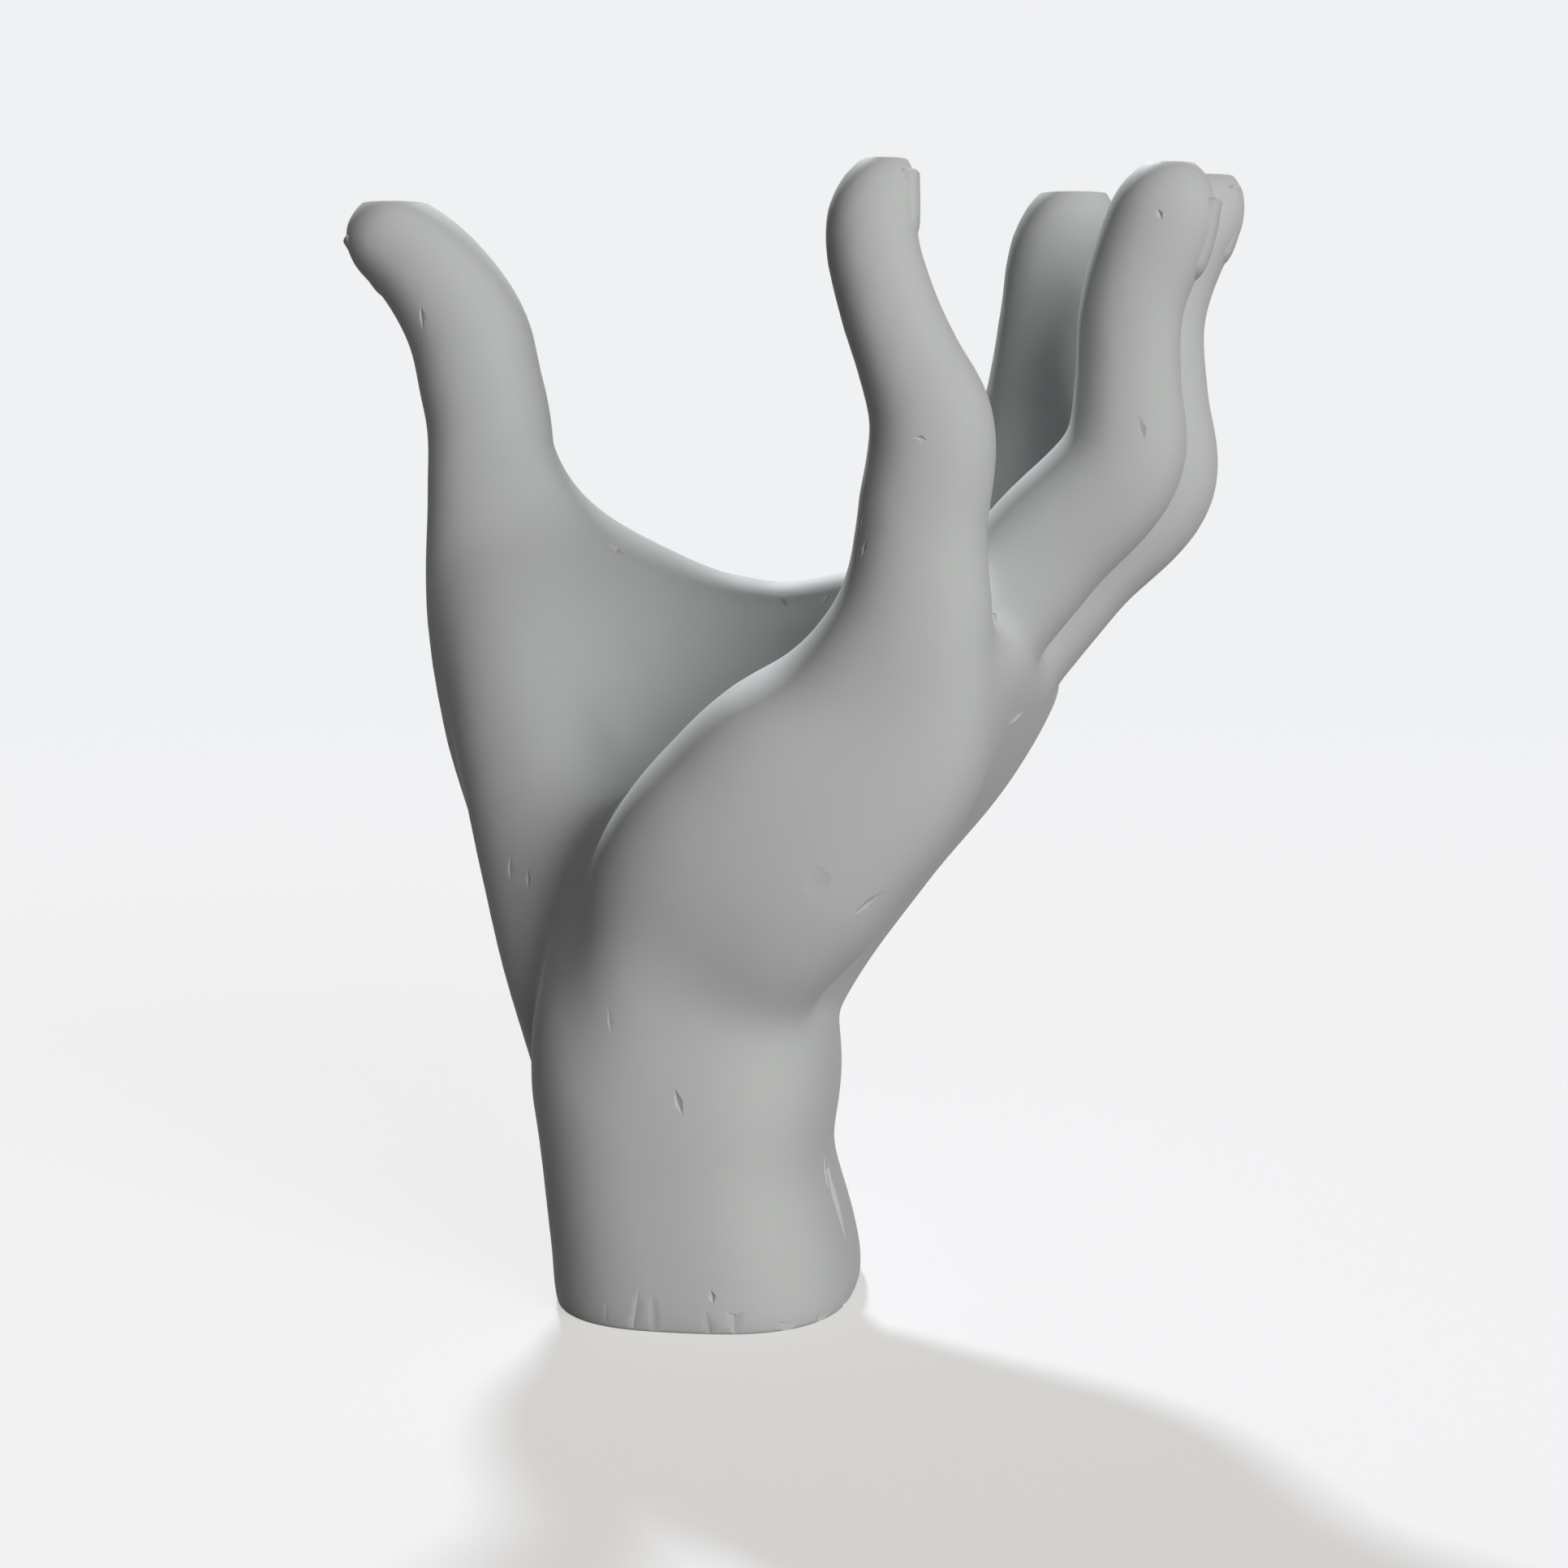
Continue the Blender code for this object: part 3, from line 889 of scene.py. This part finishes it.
def rim_chips(count, depth):
    """Chips in the foot's lower edge at its back and sides, each a nick that stands upright on the edge.

    Their places, widths and heights come from one seeded draw.
    """
    draw = np.random.default_rng(7)
    steps = (np.arange(count) + draw.uniform(0.2, 0.8, count)) * (CHIPS_TO - CHIPS_FROM) / count
    turns = np.radians(CHIPS_FROM + steps)
    heights = draw.uniform(3.0, 6.5, count)
    widths = draw.uniform(2.0, 5.5, count)
    asides = draw.uniform(-0.7, 0.7, count)
    leans = draw.uniform(-0.8, 0.8, count)
    c, s = superellipse(turns, FOOT_POWER)
    places = zip(c * FOOT_DEPTH / 2, s * FOOT_BREADTH / 2)
    chips = []
    for (x, y), high, wide, aside, lean in zip(places, heights, widths, asides, leans):
        turn = math.atan2(y, x)
        shift = (-math.sin(turn) * lean, math.cos(turn) * lean)
        low, top = (x, y, -high), (x + shift[0], y + shift[1], high)
        chips.append(Nick(low, top, wide, depth / MM, aside))
    return chips


def new_material(name):
    """A new material with its nodes and links, and its shader."""
    material = bpy.data.materials.new(name)
    material.use_nodes = True
    tree = material.node_tree
    return material, tree, tree.nodes["Principled BSDF"]


def set_inputs(node, values):
    """Sets the default values of a node's inputs by name."""
    for name, value in values.items():
        node.inputs[name].default_value = value


def cast_surface_group():
    """The shader group of a matte casting: a tone that drifts, a roughness that drifts, and a fine grain.

    The tone is multiplied by one plus the mottle times a soft noise in patches of about 2 cm, less a half.
    The grain is a fine noise that bumps the normal.
    """
    group = bpy.data.node_groups.new("cast_surface", "ShaderNodeTree")
    socket = group.interface.new_socket
    for name, kind in (
        ("Tone", "NodeSocketColor"),
        ("Mottle", "NodeSocketFloat"),
        ("Roughness", "NodeSocketFloat"),
        ("Grain Depth", "NodeSocketFloat"),
    ):
        socket(name=name, in_out="INPUT", socket_type=kind)
    for name, kind in (
        ("Color", "NodeSocketColor"),
        ("Roughness", "NodeSocketFloat"),
        ("Normal", "NodeSocketVector"),
    ):
        socket(name=name, in_out="OUTPUT", socket_type=kind)
    nodes, links = group.nodes, group.links
    given = nodes.new("NodeGroupInput")
    result = nodes.new("NodeGroupOutput")
    place = nodes.new("ShaderNodeTexCoord")
    patches = nodes.new("ShaderNodeTexNoise")
    set_inputs(patches, {"Scale": PATCH_SCALE, "Detail": 3.0, "Roughness": 0.5})
    centred = nodes.new("ShaderNodeMath")
    centred.operation = "SUBTRACT"
    centred.inputs[1].default_value = 0.5
    share = nodes.new("ShaderNodeMath")
    share.operation = "MULTIPLY_ADD"
    share.inputs[2].default_value = 1.0
    toned = nodes.new("ShaderNodeVectorMath")
    toned.operation = "SCALE"
    polish = nodes.new("ShaderNodeMath")
    polish.operation = "MULTIPLY_ADD"
    polish.inputs[1].default_value = ROUGHNESS_DRIFT
    grain = nodes.new("ShaderNodeTexNoise")
    set_inputs(grain, {"Scale": GRAIN_SCALE, "Detail": 2.0, "Roughness": 0.6})
    bump = nodes.new("ShaderNodeBump")
    bump.inputs["Strength"].default_value = 1.0
    links.new(place.outputs["Object"], patches.inputs["Vector"])
    links.new(place.outputs["Object"], grain.inputs["Vector"])
    links.new(patches.outputs["Fac"], centred.inputs[0])
    links.new(centred.outputs[0], share.inputs[0])
    links.new(given.outputs["Mottle"], share.inputs[1])
    links.new(given.outputs["Tone"], toned.inputs[0])
    links.new(share.outputs[0], toned.inputs["Scale"])
    links.new(centred.outputs[0], polish.inputs[0])
    links.new(given.outputs["Roughness"], polish.inputs[2])
    links.new(grain.outputs["Fac"], bump.inputs["Height"])
    links.new(given.outputs["Grain Depth"], bump.inputs["Distance"])
    links.new(toned.outputs[0], result.inputs["Color"])
    links.new(polish.outputs[0], result.inputs["Roughness"])
    links.new(bump.outputs["Normal"], result.inputs["Normal"])
    return group


def cast_grey(finish):
    """The matte light grey of the casting."""
    material, tree, shader = new_material("cast_grey_finish")
    surface = tree.nodes.new("ShaderNodeGroup")
    surface.node_tree = cast_surface_group()
    set_inputs(
        surface,
        {
            "Tone": (*finish.tone, 1),
            "Mottle": finish.mottle,
            "Roughness": finish.roughness,
            "Grain Depth": finish.grain_depth,
        },
    )
    tree.links.new(surface.outputs["Color"], shader.inputs["Base Color"])
    tree.links.new(surface.outputs["Roughness"], shader.inputs["Roughness"])
    tree.links.new(surface.outputs["Normal"], shader.inputs["Normal"])
    set_inputs(shader, {"Metallic": 0.0, "Specular IOR Level": SHEEN_LEVEL})
    return material


def sharpen(mesh):
    """Shades the mesh smooth, with a crisp line wherever two faces meet at more than the crisp angle."""
    mesh.shade_smooth()
    mesh.set_sharp_from_angle(angle=CRISP_ANGLE)


class WATCHSTAND_OT_cast_hand(bpy.types.Operator):
    """Builds the hand: its limbs fused into one form, its nails, and its level cuts"""

    bl_idname = "watchstand.cast_hand"
    bl_label = "Cast Hand"

    def execute(self, context):
        sizes = context.scene.watchstand_hand
        height = sizes.height / MM
        tubes = [limb(mass.stations, mass.side, mass.power, MASS_ENDS, MASS_ENDS) for mass in MASSES]
        tubes += [digit_limb(digit, height) for digit in DIGITS]
        hand = object_of(tubes_mesh("cast_hand", tubes))
        add_modifier(hand, "fuse", "REMESH", mode="VOXEL", voxel_size=sizes.voxel)
        add_modifier(hand, "soften", "SMOOTH", factor=0.5, iterations=sizes.first_smoothing)
        fill_creases(carry_out(hand), sizes.fill_steps)
        add_modifier(hand, "even", "SMOOTH", factor=0.5, iterations=sizes.last_smoothing)
        carry_out(hand)
        nails = object_of(tubes_mesh("nails", [nail_plate(digit, sizes) for digit in DIGITS]))
        combine(hand, nails, "UNION")
        cut_level(hand.data, sizes.height, True)
        cut_level(hand.data, 0, False)
        round_foot(hand.data, sizes.foot_rounding, sizes.foot_inset)
        hand.data.name = "cast_hand"
        sharpen(hand.data)
        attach(hand, "root")
        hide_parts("hand")
        return {"FINISHED"}


class WATCHSTAND_OT_casting_marks(bpy.types.Operator):
    """Cuts the nicks of the casting and the chips round its foot, and gives it its finish"""

    bl_idname = "watchstand.casting_marks"
    bl_label = "Casting Marks"

    def execute(self, context):
        marks = context.scene.watchstand_marks
        hand = context.scene.objects["cast_hand"]
        finder = surface_finder(hand.data)
        nicks = [*NICKS, *rim_chips(marks.rim_chips, marks.chip_depth)]
        rounding = context.scene.watchstand_hand.foot_rounding
        hollows = [nick_points(finder, nick, marks.depth_share, rounding) for nick in nicks]
        combine(hand, cutter_object("hollows", hollows), "DIFFERENCE")
        hand.data.name = "cast_hand"
        hand.data.materials.clear()
        hand.data.materials.append(cast_grey(context.scene.watchstand_finish))
        sharpen(hand.data)
        return {"FINISHED"}


# A lamp is far off and soft: its azimuth from the front towards +X, its height, both in degrees, its
# strength, the angle of its disc in degrees, and its colour.
Lamp = namedtuple("Lamp", "name azimuth height strength disc colour")

LAMPS = (
    Lamp("back_lamp", -170, 41.5, 4.0, 4.5, (0.93, 0.965, 1.0)),
    Lamp("front_lamp", 30, 8, 3.9, 56, (1.0, 1.0, 0.99)),
)


def add_lamp(scene, lamp):
    """Adds a soft far lamp that looks at the origin."""
    data = bpy.data.lights.new(lamp.name, "SUN")
    data.energy = lamp.strength
    data.angle = math.radians(lamp.disc)
    data.color = lamp.colour
    turn, rise = math.radians(lamp.azimuth), math.radians(lamp.height)
    back = Vector((math.sin(turn) * math.cos(rise), -math.cos(turn) * math.cos(rise), math.sin(rise)))
    made = bpy.data.objects.new(lamp.name, data)
    made.location = back
    made.rotation_mode = "QUATERNION"
    made.rotation_quaternion = back.to_track_quat("Z", "Y")
    scene.collection.objects.link(made)


def seen_ray(tree):
    """A value that is one for what the camera, a mirror or a glass sees, and nought for what lights."""
    path = tree.nodes.new("ShaderNodeLightPath")
    first = tree.nodes.new("ShaderNodeMath")
    first.operation = "MAXIMUM"
    second = tree.nodes.new("ShaderNodeMath")
    second.operation = "MAXIMUM"
    tree.links.new(path.outputs["Is Camera Ray"], first.inputs[0])
    tree.links.new(path.outputs["Is Glossy Ray"], first.inputs[1])
    tree.links.new(first.outputs[0], second.inputs[0])
    tree.links.new(path.outputs["Is Transmission Ray"], second.inputs[1])
    return second.outputs[0]


def set_world(scene, pale, ambient):
    """A pale backdrop to whatever sees it, and a plain even light."""
    world = bpy.data.worlds.new("pale_room")
    scene.world = world
    world.use_nodes = True
    tree = world.node_tree
    light = tree.nodes["Background"]
    set_inputs(light, {"Color": (1, 1, 1, 1), "Strength": ambient})
    backdrop = tree.nodes.new("ShaderNodeBackground")
    set_inputs(backdrop, {"Color": (*pale, 1), "Strength": 1.0})
    mix = tree.nodes.new("ShaderNodeMixShader")
    tree.links.new(seen_ray(tree), mix.inputs[0])
    tree.links.new(light.outputs[0], mix.inputs[1])
    tree.links.new(backdrop.outputs[0], mix.inputs[2])
    tree.links.new(mix.outputs[0], tree.nodes["World Output"].inputs["Surface"])


def pale_floor(settings):
    """The floor's material: pale and matte near the stand, and farther off the backdrop's own colour.

    Near the stand, a glow and the lamps' light on a matte grey add up to the backdrop's colour, so that a
    shadow takes away only the grey's part. To the light that goes on from it, the floor is dark.
    """
    material, tree, dark = new_material("pale_floor")
    dark_colour = (DARK_TONE, DARK_TONE, DARK_TONE, 1)
    set_inputs(dark, {"Base Color": dark_colour, "Roughness": 1.0, "Specular IOR Level": 0.0})
    matte = tree.nodes.new("ShaderNodeBsdfDiffuse")
    set_inputs(matte, {"Color": (*settings.floor_tone, 1), "Roughness": 0.0})
    glow = tree.nodes.new("ShaderNodeEmission")
    set_inputs(glow, {"Color": (*settings.floor_glow, 1), "Strength": 1.0})
    near = tree.nodes.new("ShaderNodeAddShader")
    backdrop = tree.nodes.new("ShaderNodeEmission")
    set_inputs(backdrop, {"Color": (*settings.pale, 1), "Strength": 1.0})
    place = tree.nodes.new("ShaderNodeTexCoord")
    away = tree.nodes.new("ShaderNodeVectorMath")
    away.operation = "LENGTH"
    far = tree.nodes.new("ShaderNodeMapRange")
    far.interpolation_type = "SMOOTHSTEP"
    set_inputs(far, {"From Min": NEAR_FLOOR, "From Max": FAR_FLOOR})
    pale = tree.nodes.new("ShaderNodeMixShader")
    mix = tree.nodes.new("ShaderNodeMixShader")
    tree.links.new(place.outputs["Object"], away.inputs[0])
    tree.links.new(away.outputs["Value"], far.inputs["Value"])
    tree.links.new(glow.outputs[0], near.inputs[0])
    tree.links.new(matte.outputs[0], near.inputs[1])
    tree.links.new(far.outputs["Result"], pale.inputs[0])
    tree.links.new(near.outputs[0], pale.inputs[1])
    tree.links.new(backdrop.outputs[0], pale.inputs[2])
    tree.links.new(seen_ray(tree), mix.inputs[0])
    tree.links.new(dark.outputs[0], mix.inputs[1])
    tree.links.new(pale.outputs[0], mix.inputs[2])
    tree.links.new(mix.outputs[0], tree.nodes["Material Output"].inputs["Surface"])
    return material


class WATCHSTAND_OT_stage(bpy.types.Operator):
    """Builds the pale floor and backdrop, the soft lamps and the camera"""

    bl_idname = "watchstand.stage"
    bl_label = "Stage"

    def execute(self, context):
        scene = context.scene
        settings = scene.watchstand_stage
        turns = np.linspace(0, 2 * math.pi, FLOOR_SIDES, endpoint=False)
        edge = np.stack([np.cos(turns), np.sin(turns), np.zeros(FLOOR_SIDES)], axis=1) * FLOOR_RADIUS
        floor = object_of(mesh_from("floor", edge, np.arange(FLOOR_SIDES), np.array([FLOOR_SIDES])))
        floor.data.materials.append(pale_floor(settings))
        set_world(scene, settings.pale, settings.ambient)
        for lamp in LAMPS:
            add_lamp(scene, lamp)
        data = bpy.data.cameras.new("camera")
        data.angle = settings.field
        data.clip_start = 0.01
        camera = bpy.data.objects.new("camera", data)
        camera.location = settings.camera_place
        camera.rotation_euler = (math.pi / 2 - settings.camera_dip, 0, 0)
        scene.collection.objects.link(camera)
        scene.camera = camera
        scene.view_settings.view_transform = "Standard"
        return {"FINISHED"}


class WATCHSTAND_PT_parts(bpy.types.Panel):
    """Lists the stand's sizes and the steps that build it."""

    bl_idname = "WATCHSTAND_PT_parts"
    bl_label = "Watch Stand"
    bl_space_type = "VIEW_3D"
    bl_region_type = "UI"
    bl_category = "Watch Stand"

    def draw(self, context):
        for operator, settings in STEPS:
            box = self.layout.box()
            for group in settings:
                values = getattr(context.scene, group)
                for name in values.__annotations__:
                    box.prop(values, name)
            box.operator(operator)


STEPS = (
    ("watchstand.cast_hand", ("watchstand_hand",)),
    ("watchstand.casting_marks", ("watchstand_marks", "watchstand_finish")),
    ("watchstand.stage", ("watchstand_stage",)),
)

SETTINGS = {
    "watchstand_hand": CastHandSizes,
    "watchstand_marks": CastingMarkSizes,
    "watchstand_finish": CastFinish,
    "watchstand_stage": StageSettings,
}

CLASSES = (
    WATCHSTAND_OT_cast_hand,
    WATCHSTAND_OT_casting_marks,
    WATCHSTAND_OT_stage,
    WATCHSTAND_PT_parts,
)


def register():
    """Registers the settings, the operators and the panel."""
    for name, group in SETTINGS.items():
        bpy.utils.register_class(group)
        setattr(bpy.types.Scene, name, bpy.props.PointerProperty(type=group))
    for made in CLASSES:
        bpy.utils.register_class(made)


def unregister():
    """Takes back what register did."""
    for made in reversed(CLASSES):
        bpy.utils.unregister_class(made)
    for name, group in SETTINGS.items():
        delattr(bpy.types.Scene, name)
        bpy.utils.unregister_class(group)


def main():
    """Builds the stand and its stage."""
    register()
    bpy.ops.watchstand.cast_hand()
    bpy.ops.watchstand.casting_marks()
    bpy.ops.watchstand.stage()


if __name__ == "__main__":
    main()
